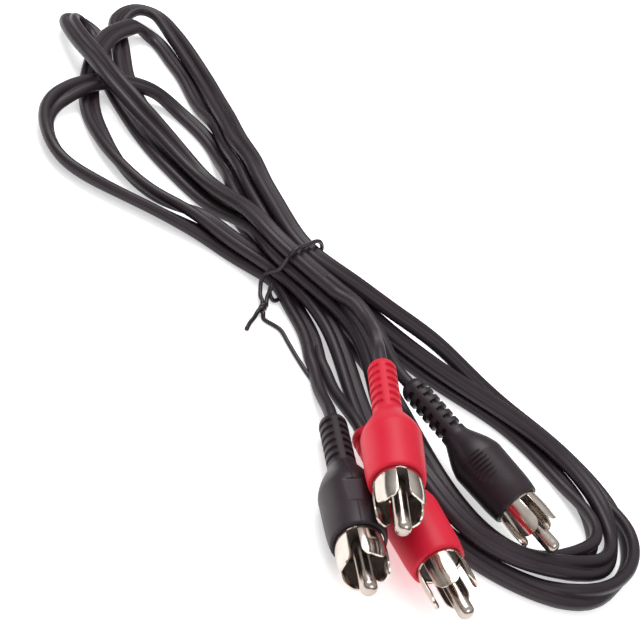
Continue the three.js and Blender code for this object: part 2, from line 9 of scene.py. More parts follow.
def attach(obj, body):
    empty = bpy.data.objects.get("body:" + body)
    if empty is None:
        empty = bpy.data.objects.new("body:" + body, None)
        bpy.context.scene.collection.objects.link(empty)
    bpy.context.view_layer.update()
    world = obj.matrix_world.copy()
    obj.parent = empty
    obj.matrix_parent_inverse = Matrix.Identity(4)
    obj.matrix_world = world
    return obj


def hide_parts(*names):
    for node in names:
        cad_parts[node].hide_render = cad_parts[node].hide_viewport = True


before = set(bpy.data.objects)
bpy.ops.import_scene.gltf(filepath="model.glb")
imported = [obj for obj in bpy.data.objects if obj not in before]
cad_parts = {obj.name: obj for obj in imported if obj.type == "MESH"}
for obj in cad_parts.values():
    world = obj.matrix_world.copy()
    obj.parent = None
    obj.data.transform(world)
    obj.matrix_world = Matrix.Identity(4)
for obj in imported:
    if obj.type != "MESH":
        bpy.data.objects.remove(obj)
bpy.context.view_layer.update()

MM = 0.001
# The frame's origin in the plan that the routes are given in, in millimetres
ORIGIN = np.array([29.96, -35.56, 0.0])


def place(point):
    return (np.array(point[:3], float) - ORIGIN) * MM


# Camera: its place in millimetres, its roll in degrees and its lens in millimetres
EYE = (42.5, -241.2, 141.4)
ROLL = 33.0
LENS = 66.4

camera_data = bpy.data.cameras.new("camera")
camera_data.lens = LENS
camera_data.sensor_width = 36
camera_data.clip_start = 0.01
camera = bpy.data.objects.new("camera", camera_data)
bpy.context.scene.collection.objects.link(camera)
eye = Vector(place(EYE))
look = Vector(place((0, 0, 0))) - eye
turn = look.to_track_quat("-Z", "Y").to_matrix().to_4x4()
camera.matrix_world = Matrix.Translation(eye) @ turn @ Matrix.Rotation(math.radians(ROLL), 4, "Z")
bpy.context.scene.camera = camera


# Materials. A mottle or grain is a noise's scale and detail, and a depth is in metres
MOTTLE = (90.0, 3.0)
GRAIN_SCALE = 900.0
GRAIN_DETAIL = 4.0
GRAIN_DEPTH = 0.00005
PLATE_MOTTLE = (350.0, 2.0)
PLATE_GRAIN = (1800.0, 3.0)
PLATE_BUMP = 0.06
PLATE_DEPTH = 0.00003


def noise(nodes, links, scale, detail):
    coordinates = nodes.new("ShaderNodeTexCoord")
    texture = nodes.new("ShaderNodeTexNoise")
    texture.inputs["Scale"].default_value = scale
    texture.inputs["Detail"].default_value = detail
    links.new(coordinates.outputs["Object"], texture.inputs["Vector"])
    return texture.outputs["Fac"]


def ramp(nodes, links, source, low, high, start=0.3, end=0.7):
    node = nodes.new("ShaderNodeValToRGB")
    node.color_ramp.elements[0].position = start
    node.color_ramp.elements[1].position = end
    node.color_ramp.elements[0].color = low
    node.color_ramp.elements[1].color = high
    links.new(source, node.inputs["Fac"])
    return node.outputs["Color"]


def grey(value):
    return (value, value, value, 1)


def surface(name, low, high, roughness, mottle, grain, bump, depth):
    """A material whose colour and roughness vary a little between two values, with a fine grain."""
    material = bpy.data.materials.new(name)
    material.use_nodes = True
    nodes, links = material.node_tree.nodes, material.node_tree.links
    bsdf = nodes["Principled BSDF"]
    wide = noise(nodes, links, *mottle)
    links.new(ramp(nodes, links, wide, low, high), bsdf.inputs["Base Color"])
    smooth, rough = roughness
    links.new(ramp(nodes, links, wide, grey(smooth), grey(rough)), bsdf.inputs["Roughness"])
    height = nodes.new("ShaderNodeBump")
    height.inputs["Strength"].default_value = bump
    height.inputs["Distance"].default_value = depth
    links.new(noise(nodes, links, *grain), height.inputs["Height"])
    links.new(height.outputs["Normal"], bsdf.inputs["Normal"])
    return material, bsdf


def moulded(name, low, high, rough, bump, grain=GRAIN_SCALE, shine=0.4):
    """Soft moulded plastic."""
    spread = (rough - 0.05, rough + 0.06)
    material, bsdf = surface(name, low, high, spread, MOTTLE, (grain, GRAIN_DETAIL), bump, GRAIN_DEPTH)
    bsdf.inputs["Specular IOR Level"].default_value = shine
    return material


def plated(name, low, high, rough):
    """Plated metal: bright and very slightly uneven."""
    spread = (rough - 0.03, rough + 0.05)
    material, bsdf = surface(name, low, high, spread, PLATE_MOTTLE, PLATE_GRAIN, PLATE_BUMP, PLATE_DEPTH)
    bsdf.inputs["Metallic"].default_value = 1.0
    return material


CORD_PVC = moulded(
    "cord_pvc", (0.018, 0.0105, 0.0155, 1), (0.026, 0.0165, 0.0225, 1), 0.42, 0.25, shine=0.34
)
RED_PVC = moulded("red_pvc", (0.6, 0.0085, 0.03, 1), (0.67, 0.013, 0.04, 1), 0.44, 0.2, shine=0.28)
BLACK_PVC = moulded(
    "black_pvc", (0.0175, 0.0095, 0.014, 1), (0.024, 0.0145, 0.02, 1), 0.42, 0.25, shine=0.34
)
TIE_PVC = moulded("tie_pvc", (0.016, 0.009, 0.013, 1), (0.025, 0.015, 0.021, 1), 0.36, 0.3)
INSULATOR = moulded("insulator_plastic", (0.05, 0.036, 0.033, 1), (0.07, 0.052, 0.047, 1), 0.5, 0.2)
NICKEL = plated("nickel_plate", (0.6, 0.52, 0.46, 1), (0.72, 0.65, 0.58, 1), 0.16)
PIN_PLATE = plated("pin_plate", (0.42, 0.35, 0.31, 1), (0.56, 0.49, 0.44, 1), 0.2)
COPPER = plated("copper_wire", (0.66, 0.34, 0.2, 1), (0.76, 0.43, 0.27, 1), 0.3)


# Meshes. Lines are sampled this finely, in millimetres, before they are spaced out
FINE_STEP = 0.2


def new_object(name, vertices, faces, material, smooth=True):
    mesh = bpy.data.meshes.new(name)
    mesh.from_pydata([tuple(v) for v in vertices], [], faces)
    mesh.materials.append(material)
    mesh.validate()
    if smooth:
        mesh.polygons.foreach_set("use_smooth", [True] * len(mesh.polygons))
    mesh.update()
    made = bpy.data.objects.new(name, mesh)
    bpy.context.scene.collection.objects.link(made)
    return made


def ring_faces(rings, sides, closed_ends=True):
    faces = []
    for i in range(rings - 1):
        for j in range(sides):
            a, b = i * sides + j, i * sides + (j + 1) % sides
            faces.append((a, b, b + sides, a + sides))
    if closed_ends:
        faces.append(tuple(reversed(range(sides))))
        faces.append(tuple(range((rings - 1) * sides, rings * sides)))
    return faces


def spline(values, step, soft):
    """A smooth line near the points, evenly spaced. Columns after x, y and z follow along with them."""
    points = np.array(values, float)

    # A natural cubic spline through the points
    gaps = np.linalg.norm(np.diff(points[:, :3], axis=0), axis=1)
    t = np.concatenate([[0], np.cumsum(gaps)])
    n = len(t)
    h = np.diff(t)
    matrix = np.zeros((n, n))
    right = np.zeros((n, points.shape[1]))
    matrix[0, 0] = matrix[-1, -1] = 1
    for i in range(1, n - 1):
        matrix[i, i - 1 : i + 2] = h[i - 1], 2 * (h[i - 1] + h[i]), h[i]
        right[i] = 6 * ((points[i + 1] - points[i]) / h[i] - (points[i] - points[i - 1]) / h[i - 1])
    bend = np.linalg.solve(matrix, right)
    s = np.linspace(0, t[-1], int(t[-1] / FINE_STEP) + 2)
    k = np.clip(np.searchsorted(t, s, side="right") - 1, 0, n - 2)
    a = ((t[k + 1] - s) / h[k])[:, None]
    b = 1 - a
    hk = h[k][:, None]
    line = a * points[k] + b * points[k + 1] + ((a**3 - a) * bend[k] + (b**3 - b) * bend[k + 1]) * hk**2 / 6

    # Eased by a weighted mean, with the line carried on past its two ends
    reach = int(3 * soft / FINE_STEP)
    weights = np.exp(-0.5 * (np.arange(-reach, reach + 1) * FINE_STEP / soft) ** 2)
    weights /= weights.sum()
    before = 2 * line[0] - line[1 : reach + 1][::-1]
    after = 2 * line[-1] - line[-reach - 1 : -1][::-1]
    padded = np.vstack([before, line, after])
    line = np.column_stack([np.convolve(padded[:, c], weights, "valid") for c in range(line.shape[1])])

    # Points spaced evenly along it
    along = np.concatenate([[0], np.cumsum(np.linalg.norm(np.diff(line[:, :3], axis=0), axis=1))])
    even = np.linspace(0, along[-1], max(int(along[-1] / step), 4) + 1)
    return np.column_stack([np.interp(even, along, line[:, c]) for c in range(line.shape[1])])


def tangents(line):
    t = np.gradient(line[:, :3], axis=0)
    return t / np.linalg.norm(t, axis=1)[:, None]


def tube(name, line, radius, sides, material, close_in=None):
    """A round tube along an evenly spaced line, with frames carried along without twist."""
    t = tangents(line)
    normal = np.cross(t[0], [0, 0, 1.0])
    if np.linalg.norm(normal) < 0.1:
        normal = np.cross(t[0], [0, 1.0, 0])
    angles = np.linspace(0, 2 * np.pi, sides, endpoint=False)
    vertices = []
    for i, centre in enumerate(line[:, :3]):
        normal = normal - t[i] * normal.dot(t[i])
        normal /= np.linalg.norm(normal)
        other = np.cross(t[i], normal)
        r = radius if close_in is None else radius * close_in(i / (len(line) - 1))
        for angle in angles:
            vertices.append(place(centre + r * (math.cos(angle) * normal + math.sin(angle) * other)))
    return new_object(name, vertices, ring_faces(len(line), sides), material)


# Twin cord. Sizes here and below are in millimetres, apart from each stated length, which is in metres
LEAD = 2.8
LEAD_RADIUS = LEAD / 2
FLOOR_GAP = 0.06
CORD_STEP = 1.4
CORD_SOFTNESS = 1.6
# Half the angle of each lead that the web covers, in degrees, and half the web's thickness at its middle as a
# share of that at its edges
HALF_WEB = 27
WEB_SHARE = 0.92
LOBE_POINTS = 13
# Rows at each end over which the leads thin towards the split, and by how much
END_ROWS = 3
END_THINNING = 0.06
TIE_X = -12
NEAR_Y = -2.8
FAR_Y = 3.1
LAYER_Z = 2.5
LAYER_PITCH = 3


def near(layer):
    return (TIE_X, NEAR_Y, LAYER_Z + LAYER_PITCH * layer, 0)


def far(layer):
    return (TIE_X, FAR_Y, LAYER_Z + LAYER_PITCH * layer, 0)


# The route from the upper split to the lower one: x, y, z and the lean of the flat side in degrees
ROUTE = [
    (-2, -3.6, 11.4, 0), near(3),
    (-20, -1, 11.3, 0), (-27, 2.6, 10.4, 0), (-34, 6.2, 8.4, 0), (-41, 9, 6.2, 0), (-48, 11.5, 5, 0),
    (-55, 13.1, 5.3, -15), (-61.5, 14, 6.2, -25), (-67, 14.2, 7.2, -35), (-71.5, 14.3, 8, -40),
    (-76, 15.2, 8.5, -40), (-80.5, 16.4, 8.7, -40), (-85, 18.1, 8.8, -40), (-90, 20.6, 8.7, -40),
    (-95.5, 23.6, 8.1, -40), (-101.5, 27.4, 7, -40), (-107, 31.4, 6.2, -40), (-111.5, 35.6, 5.2, -40),
    (-113.6, 40.4, 4.2, -30), (-112, 44.8, 2.9, -15), (-107.4, 45.6, 1.8, 0), (-102, 41.6, 1.5, 0),
    (-96.8, 35.4, 1.5, 0), (-90.6, 29.6, 1.5, 0), (-83.4, 24.4, 1.5, 0), (-75.6, 19.7, 1.5, 0),
    (-67.8, 15.6, 1.5, 0), (-60, 12.6, 1.5, 0), (-53, 10.8, 1.5, 0), (-46, 9.4, 1.5, 0),
    (-38.5, 7.8, 2.5, 0), (-31, 5.4, 5.4, 0), (-25, 2.4, 7.5, 0), (-18.5, -1.6, 8.5, 0), near(2),
    (0, -3.4, 8.1, 0), (10, -6.1, 7.4, 0), (19, -11.8, 5, 0), (27, -18.9, 2.6, 0), (36, -26.2, 3.2, 0),
    (43, -31.5, 4.4, 0), (50, -35.2, 4.6, 0), (58, -36.8, 4.6, 0), (67, -34.2, 4.8, 0), (75, -28.2, 4.8, 5),
    (81.3, -20.5, 4.4, 35), (84.8, -12, 3.3, 50), (84.4, -4, 2.9, 50), (79.6, 3.2, 4.2, 10),
    (72.5, 8.6, 4.6, 0), (62, 12, 4.6, 0), (50, 12, 4.6, 0), (38, 9.5, 4.8, 0), (26, 7, 5.3, 0),
    (14, 5, 6.4, 0), (2, 3.6, 7.9, 0), far(2),
    (-22, 7.6, 8.2, 0), (-30, 13, 8, 0), (-37, 18.6, 7.7, 0), (-44.2, 25.6, 7.1, 0), (-52, 33.2, 5.3, 0),
    (-60.5, 41, 4.4, 0), (-65.5, 45.4, 2.8, 0), (-71, 49.8, 1.6, 0), (-79, 56, 1.5, 0),
    (-84.2, 59.8, 1.5, 0), (-90.5, 63.1, 1.5, 0), (-96.6, 66.6, 1.5, 0), (-101.1, 67.6, 1.7, 0),
    (-104.4, 65.2, 2.7, 0), (-105.4, 61.2, 4.4, 0), (-104.9, 57.4, 4.7, 0), (-104.4, 51.6, 4.6, 0),
    (-103.3, 45.8, 4.6, 0), (-101.3, 39.6, 4.6, 0), (-98.2, 32.6, 4.6, 0), (-95, 27, 4.2, 0),
    (-92, 22.6, 2, 0), (-88.6, 18, 1.5, 0), (-83.4, 11.6, 1.5, 0), (-78, 6.4, 1.5, 0),
    (-72.5, 2.1, 1.9, -10), (-66.7, -1.8, 2.3, -25), (-60.6, -4.5, 2.5, -40), (-54.2, -6, 2.7, -45),
    (-48, -5.6, 2.9, -45), (-42, -4.6, 4, -30), (-36.5, -4.2, 5, -5), (-30, -3.8, 4.9, 0),
    (-23, -3.3, 5.1, 0), near(1),
    (-3, -4.2, 5.1, 0), (5, -8.2, 4.6, 0), (13, -14.3, 3.2, 0), (21, -21.6, 1.9, 0), (29.5, -29, 1.5, 0),
    (38, -35, 1.5, 0), (47, -38.6, 1.5, 0), (57, -39.8, 1.5, 0), (68, -37.6, 1.6, 0), (77.8, -32.7, 2, 15),
    (85.5, -24.7, 2.9, 60), (88.9, -15, 2.9, 90), (89.8, -6, 2.9, 90), (87, 3.6, 2.9, 75),
    (80.5, 11.2, 2.1, 20), (70.5, 16.6, 1.5, 0), (60, 18.8, 1.5, 0), (48, 18.5, 1.9, 0), (36, 16, 4.4, 0),
    (24, 12, 8, 0), (12, 7.4, 10, 0), (0, 4.2, 11.3, 0), far(3),
    (-23, 9.4, 11.1, 0), (-30, 15, 10.8, 0), (-36.6, 20.2, 10.7, 0), (-43, 26.2, 10.3, -10),
    (-50.4, 32.1, 9.2, -25), (-57.9, 39.5, 8.2, -36), (-66.4, 48.2, 6.6, -40), (-74.5, 56.1, 5.4, -40),
    (-82.4, 61.8, 5.2, -40), (-91.3, 67.5, 5.2, -36), (-97.3, 71, 5.2, -25), (-102.4, 73.9, 5.1, -10),
    (-107.6, 75.9, 4.9, 5), (-111.4, 74.2, 4.5, 15), (-113, 70.3, 3.6, 20), (-112.6, 65.8, 2.4, 15),
    (-110.9, 61.4, 1.6, 0), (-107, 56.4, 1.5, 0), (-102.3, 51.2, 1.5, 0), (-97.1, 45.2, 1.5, 0),
    (-92.1, 39.4, 1.5, 0), (-86.5, 34.2, 1.5, 0), (-80, 29.6, 1.5, 0), (-73, 25.2, 1.5, 0),
    (-66, 21.6, 1.5, 0), (-58, 18.9, 1.5, 0), (-50, 17.6, 1.5, 0), (-44, 16.6, 1.5, 0),
    (-37.5, 14.4, 1.5, 0), (-30, 10.8, 1.6, 0), (-21, 5.5, 2.2, 0), far(0),
    (0, 2.4, 1.7, 0), (10, -1.5, 1.5, 0), (20, -6.6, 1.5, 0), (30, -13.6, 1.5, 0), (40, -21.4, 1.5, 0),
    (50, -27.6, 1.5, 0), (60, -30.4, 1.5, 0), (69, -28.2, 1.5, 0), (75.6, -22, 1.8, 10),
    (79.8, -14.3, 2.7, 50), (80.6, -7, 2.9, 75), (77, 0, 2.7, 50), (70.6, 5.6, 1.9, 10), (62, 9.6, 1.5, 0),
    (50, 11.8, 1.5, 0), (36, 9.5, 1.6, 0), (20, 6, 2.5, 0), (4, 3.8, 4.6, 0), far(1),
    (-22, 6.9, 5.3, 0), (-30, 11.9, 4.9, 0), (-37, 16.2, 4.6, 0), (-41.5, 20, 4.4, 0), (-45.3, 24.4, 3.6, 0),
    (-49.5, 29, 2.2, 0), (-54.8, 33.9, 1.5, 0), (-59.8, 36.6, 1.5, 0), (-64.8, 38.1, 1.5, 0),
    (-69.8, 38.8, 1.6, 0), (-74.4, 38.2, 2.4, 0), (-78.2, 36, 3.8, 0), (-81, 32.8, 4.6, 0),
    (-84.2, 29, 4.6, 0), (-86.4, 24.6, 4.6, 0), (-87.3, 19.4, 4.6, 0), (-87.4, 14.2, 4.8, 0),
    (-87.2, 8.8, 4.7, -10), (-86.7, 3.2, 4.1, -25), (-85.9, -1.6, 3.3, -40), (-84.3, -5.5, 2.8, -45),
    (-82.3, -8.8, 2.7, -50), (-79.9, -11.6, 2.7, -50), (-77.4, -14, 2.7, -50), (-74.6, -16, 2.6, -45),
    (-71, -17.9, 2.5, -40), (-67, -18.6, 2.4, -35), (-61, -17.5, 2.4, -35), (-54, -14.6, 2.3, -30),
    (-47.3, -11.6, 2.3, -30), (-41, -8.8, 2.2, -25), (-35, -6, 2, -10), (-29, -4.2, 1.7, 0), (-21, -3, 2, 0),
    near(0),
    (-6.5, -5.4, 1.7, 0), (-2, -8.2, 1.5, 0), (2.2, -11.7, 1.5, 0), (5.6, -15.8, 1.5, 0),
]
RUN_NODES = [
    "cord_upper_end", "cord_left_fold", "cord_right_middle", "cord_left_upper_inner", "cord_right_outer",
    "cord_left_upper_outer", "cord_right_inner", "cord_left_lower", "cord_lower_end",
]

cord_line = spline(ROUTE, CORD_STEP, CORD_SOFTNESS)
lean = np.radians(cord_line[:, 3])
lowest = LEAD_RADIUS * (1 + np.abs(np.sin(lean))) + FLOOR_GAP
cord_line[:, 2] = np.maximum(cord_line[:, 2], lowest)


def lobed_section():
    """Two round leads side by side with a groove between them, above and below."""
    points = []
    sweep = np.radians(np.linspace(-(180 - HALF_WEB), 180 - HALF_WEB, LOBE_POINTS))
    points += [(LEAD_RADIUS + LEAD_RADIUS * math.cos(a), LEAD_RADIUS * math.sin(a)) for a in sweep]
    middle = WEB_SHARE * LEAD_RADIUS * math.sin(math.radians(HALF_WEB))
    points.append((0, middle))
    points += [(-LEAD_RADIUS - LEAD_RADIUS * math.cos(a), -LEAD_RADIUS * math.sin(a)) for a in sweep]
    points.append((0, -middle))
    return points


cord_t = tangents(cord_line)
cord_left = np.cross(np.tile([0, 0, 1.0], (len(cord_t), 1)), cord_t)
cord_left /= np.linalg.norm(cord_left, axis=1)[:, None]
cord_up = np.cross(cord_t, cord_left)
cord_across = cord_left * np.cos(lean)[:, None] + cord_up * np.sin(lean)[:, None]
cord_over = np.cross(cord_t, cord_across)
section = lobed_section()
vertices = []
for row, (c, n, b) in enumerate(zip(cord_line[:, :3], cord_across, cord_over)):
    from_end = min(row, len(cord_line) - 1 - row)
    slim = 1 - END_THINNING * max(0, END_ROWS - 1 - from_end) / (END_ROWS - 1)
    for x, y in section:
        centre_x = math.copysign(LEAD_RADIUS, x) if abs(x) > 1e-9 else 0
        vertices.append(place(c + (centre_x + (x - centre_x) * slim) * n + y * slim * b))
cord = new_object("twin_cord", vertices, ring_faces(len(cord_line), len(section)), CORD_PVC)
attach(cord, "root")
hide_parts(*RUN_NODES)

# Plugs. Distances along a plug run from the rear end of its boot
RELIEF_RADIUS = 3.0
RELIEF_END_RADIUS = 2.0
RELIEF_NOSE = 2.0
RELIEF_LENGTH = 16.3
SHOULDER_LENGTH = 7.6
BODY_RADIUS = 6.0
BODY_LENGTH = 9.6
BODY_TAPER = 0.25
RIM_LENGTH = 3.5
RIM_RADIUS = 5.35
BOOT_LENGTH = RELIEF_LENGTH + SHOULDER_LENGTH + BODY_LENGTH + RIM_LENGTH
CORD_INSERT = 8
SLOT_COUNT = 6
SLOT_WIDTH = 1.05
SLOT_PITCH = 2.25
SLOT_START = 3.1
SPINE_WIDTH = 1.4
GROOVE_COUNT = 9
GROOVE_WIDTH = 0.5
GROOVE_PITCH = 1.05
GROOVE_DEPTH = 0.55
GROOVE_END_DEPTH = 0.3
GROOVE_MIDDLE = 26.8
PANEL_LENGTH = 6
PANEL_DEPTH = 0.35
PANEL_MIDDLE = 28.4
SEAM_HEIGHT = 0.07
SEAM_HALF_ANGLE = 1.6
# Widths over which the edges of a slot, a groove and the panel are rounded off
SLOT_SOFT = 0.16
GROOVE_SOFT = 0.14
PANEL_SOFT = 0.6
# Distances from an edge at which the boot has a ring, and the least distance between two rings
EDGE_RINGS = (-0.14, -0.08, -0.03, 0.03, 0.08, 0.14)
LEAST_RING_GAP = 0.028
BOOT_SIDES = 144
SHELL_RADIUS = 4.6
SHELL_WALL = 0.4
SHELL_LENGTH = 7.4
SHELL_SEAT = 3.8
SHELL_BASE = 0.8
GAP = 0.3
PETALS = 4
PETAL_BULGE = 0.16
PETAL_LENGTH = 7.1
PETAL_SLOT = 2.0
PETAL_ROUND = 2.1
INSULATOR_LENGTH = 2.9
PIN_RADIUS = 1.6
PIN_REACH = 4.9
PIN_TIP_RADIUS = 0.45
PIN_NOSE = 1.2
SHANK_RADIUS = 1.0
SHANK_SHOWN = 1.5
EDGE_ROUND = 0.08
# The legs: spacing and softness of a leg's line, and the rows of the twin cord that it starts inside
LEG_STEP = 0.7
LEG_SOFTNESS = 0.7
INSIDE_ROWS = 2
# A leg's first thickness as a share, and the share of its stretch inside the twin cord where it is full
LEG_START = 0.93
LEG_FULL_SHARE = 0.75

# rear is the rear end of the boot, and leg the points that the leg passes on its way there. heading and
# rise are the plug's direction, spin its turn about its own axis and petal_turn that of the petals, all in
# degrees. floor is the radius at the bottom of the slots, and shift moves the relief towards the tip. end
# and side say where the leg leaves the twin cord, and length is the leg's, in metres.
PLUGS = [
    {
        "name": "front_red", "red": True, "mark": "none", "floor": 2.5, "shift": 2.0,
        "rear": (20.4, -28.7, 18.2), "heading": -59.3, "rise": 0, "spin": 31, "petal_turn": -55,
        "end": "upper", "side": -1, "length": 0.0465,
        "leg": [(5, -6.2, 12.5), (9.2, -8.9, 13.1), (13.6, -14, 14.5), (16.6, -20.2, 16.3)],
    },
    {
        "name": "rear_red", "red": True, "mark": "none", "floor": 2.5, "shift": 0.0,
        "rear": (26.6, -34, 4.7), "heading": -40.5, "rise": 5, "spin": 48, "petal_turn": 0,
        "end": "lower", "side": 1, "length": 0.039,
        "leg": [(10.2, -18.6, 1.5), (14.2, -22.6, 1.7), (18.8, -26.9, 2.8)],
    },
    {
        "name": "left_black", "red": False, "mark": "panel", "floor": 2.5, "shift": 0.0,
        "rear": (20.3, -37, 4.2), "heading": -56.7, "rise": 5.3, "spin": 24, "petal_turn": -22,
        "end": "lower", "side": -1, "length": 0.037,
        "leg": [(7.5, -20.1, 1.5), (11.2, -24.7, 1.6), (15.1, -29.7, 2.5)],
    },
    {
        "name": "right_black", "red": False, "mark": "grooves", "floor": 2.15, "shift": 0.8,
        "rear": (26.5, -11.9, 8.3), "heading": -20.4, "rise": 0.2, "spin": 58, "petal_turn": 14,
        "end": "upper", "side": 1, "length": 0.0415,
        "leg": [(5, -2.2, 11.2), (11, -4.2, 10.7), (17.4, -7.6, 9.7)],
    },
]

SHOULDER_END = RELIEF_LENGTH + SHOULDER_LENGTH
RIM_START = BOOT_LENGTH - RIM_LENGTH


def outside_radius(y):
    """The boot's outside without its slots: rear nose, strain relief, shoulder, body and rim."""
    if y < RELIEF_NOSE:
        return RELIEF_RADIUS - (RELIEF_RADIUS - RELIEF_END_RADIUS) * (1 - y / RELIEF_NOSE) ** 2
    if y < RELIEF_LENGTH:
        return RELIEF_RADIUS
    if y < SHOULDER_END:
        u = (y - RELIEF_LENGTH) / SHOULDER_LENGTH
        swell = u + 0.1 * math.sin(math.pi * u) - 0.02 * math.sin(2 * math.pi * u)
        return RELIEF_RADIUS + (BODY_RADIUS - RELIEF_RADIUS) * swell
    if y < RIM_START:
        return BODY_RADIUS - BODY_TAPER * (y - SHOULDER_END) / BODY_LENGTH
    u = (y - RIM_START) / RIM_LENGTH
    return BODY_RADIUS - BODY_TAPER + (RIM_RADIUS - BODY_RADIUS + BODY_TAPER) * (0.55 * u + 0.45 * u * u)


def soft_step(x):
    x = min(max(x, 0.0), 1.0)
    return x * x * (3 - 2 * x)


def eased_radius(y):
    """The outside radius, averaged over a millimetre from the shoulder to the rim."""
    if RELIEF_LENGTH - 1 < y < BOOT_LENGTH - 0.6:
        near_by = [min(max(y + d, 0.001), BOOT_LENGTH) for d in (-0.5, -0.25, 0, 0.25, 0.5)]
        return np.mean([outside_radius(at) for at in near_by])
    return outside_radius(y)


def slot_depth(y):
    """1 inside a slot of the strain relief, 0 outside, with soft edges."""
    for i in range(SLOT_COUNT):
        distance = abs(y - (SLOT_START + SLOT_PITCH * i))
        if distance < SLOT_WIDTH / 2 + SLOT_SOFT:
            return soft_step((SLOT_WIDTH / 2 + SLOT_SOFT / 2 - distance) / SLOT_SOFT)
    return 0.0


def groove_depth(y):
    """Depth of the grip grooves below the body's outside, with soft edges, and 0 between them."""
    middle = (GROOVE_COUNT - 1) / 2
    for i in range(GROOVE_COUNT):
        distance = abs(y - (GROOVE_MIDDLE + GROOVE_PITCH * (i - middle)))
        if distance < GROOVE_WIDTH / 2 + GROOVE_SOFT:
            share = ((i - middle) / middle) ** 2
            deep = GROOVE_DEPTH + (GROOVE_END_DEPTH - GROOVE_DEPTH) * share
            return deep * soft_step((GROOVE_WIDTH / 2 + GROOVE_SOFT / 2 - distance) / GROOVE_SOFT)
    return 0.0


def mark_relief(mark, angle, y, base):
    """How far the body's skin stands out (above 0) or is sunk (below 0) at its mark or mould seam."""
    cosine = math.cos(angle)
    if mark == "grooves" and cosine > 0.5:
        deep = groove_depth(y)
        return min(0.0, (BODY_RADIUS - deep) / cosine - base) if deep else 0.0
    if mark == "panel" and cosine > 0.5:
        inside = soft_step((PANEL_LENGTH / 2 + PANEL_SOFT / 2 - abs(y - PANEL_MIDDLE)) / PANEL_SOFT)
        if inside:
            return inside * min(0.0, (BODY_RADIUS - PANEL_DEPTH) / cosine - base)
        off = abs((math.degrees(angle) + 180) % 360 - 180)
        if y > RELIEF_LENGTH and off < SEAM_HALF_ANGLE:
            return SEAM_HEIGHT * soft_step(1 - off / SEAM_HALF_ANGLE)
    return 0.0


def boot_rows(mark):
    """Distances along the boot at which it has a ring: closer together at each edge."""
    rows = list(np.linspace(0.02, RELIEF_NOSE, 12))
    rows += list(np.arange(RELIEF_NOSE + 0.3, RELIEF_LENGTH, 0.35))
    for i in range(SLOT_COUNT):
        centre = SLOT_START + SLOT_PITCH * i
        for edge in (centre - SLOT_WIDTH / 2, centre + SLOT_WIDTH / 2):
            rows += [edge + off for off in EDGE_RINGS]
    rows += list(np.linspace(RELIEF_LENGTH, SHOULDER_END, 26))
    rows += list(np.arange(SHOULDER_END + 0.3, BOOT_LENGTH - 0.25, 0.3))
    if mark == "grooves":
        reach_out = GROOVE_PITCH * GROOVE_COUNT / 2
        rows += list(np.arange(GROOVE_MIDDLE - reach_out, GROOVE_MIDDLE + reach_out, 0.06))
    if mark == "panel":
        for edge in (PANEL_MIDDLE - PANEL_LENGTH / 2, PANEL_MIDDLE + PANEL_LENGTH / 2):
            rows += list(np.linspace(edge - 0.36, edge + 0.36, 13))
    rows = sorted(rows)
    kept = [rows[0]]
    for y in rows[1:]:
        if y - kept[-1] > LEAST_RING_GAP:
            kept.append(y)
    return kept


def boot(plug):
    """The moulded boot as one skin of rings, with its slots and marks."""
    seam = (0.5, 1.0, SEAM_HALF_ANGLE)
    seam_angles = np.radians([-a for a in seam] + list(seam)) % (2 * np.pi)
    even_angles = np.linspace(0, 2 * np.pi, BOOT_SIDES, endpoint=False)
    angles = np.array(sorted(set(even_angles) | set(seam_angles)))
    sides = len(angles)
    bore = LEAD_RADIUS + 0.04
    rings = [[(bore, 1.6)] * sides, [(bore, 0.12)] * sides, [(bore + 0.12, 0.0)] * sides]
    for y in boot_rows(plug["mark"]):
        base = eased_radius(y)
        depth = slot_depth(y)
        ring = []
        for angle in angles:
            r = base
            sine = abs(math.sin(angle))
            if depth and sine > 1e-6:
                floor = min(max(SPINE_WIDTH / 2 / sine, plug["floor"]), base)
                r = base + (floor - base) * depth
            ring.append((r + mark_relief(plug["mark"], angle, y, base), y))
        rings.append(ring)

    # The rim's rounded front edge, and its inside down to the shell
    front = SHELL_RADIUS + 0.03
    edge = [(RIM_RADIUS - 0.03, 0.12), (RIM_RADIUS - 0.12, 0.02), (RIM_RADIUS - 0.25, 0), (front + 0.1, 0),
            (front, 0.1), (front, 1.5)]
    rings += [[(r, BOOT_LENGTH - back)] * sides for r, back in edge]
    points = []
    for ring in rings:
        for angle, (r, y) in zip(angles, ring):
            y += plug["shift"] * (1 - soft_step((y - RELIEF_LENGTH) / (RIM_START - RELIEF_LENGTH)))
            points.append(Vector((r * math.sin(angle), y, r * math.cos(angle))) * MM)
    faces = [tuple(reversed(f)) for f in ring_faces(len(rings), sides, closed_ends=False)]
    return points, faces


def turned(profile, sides=64):
    """A turned shape about Y from a profile of (radius, distance along the axis)."""
    points, faces = [], []
    rows = []
    for r, y in profile:
        if r < 1e-6:
            rows.append([len(points)])
            points.append(Vector((0, y, 0)) * MM)
        else:
            rows.append(list(range(len(points), len(points) + sides)))
            for j in range(sides):
                a = 2 * math.pi * j / sides
                points.append(Vector((r * math.sin(a), y, r * math.cos(a))) * MM)
    for low, high in zip(rows, rows[1:]):
        for j in range(sides):
            k = (j + 1) % sides
            if len(low) == 1:
                faces.append((low[0], high[j], high[k]))
            elif len(high) == 1:
                faces.append((low[j], high[0], low[k]))
            else:
                faces.append((low[j], high[j], high[k], low[k]))
    return points, faces


def petal_half_angle(y, front):
    """Half the angle that a petal spans: its edges are flat cuts, and its end is rounded."""
    half_gap = PETAL_SLOT / 2
    beyond = max(0.0, y - (front - PETAL_ROUND))
    half_gap += PETAL_ROUND - math.sqrt(max(0.0, PETAL_ROUND**2 - beyond**2))
    return math.pi / PETALS - math.asin(half_gap / SHELL_RADIUS)


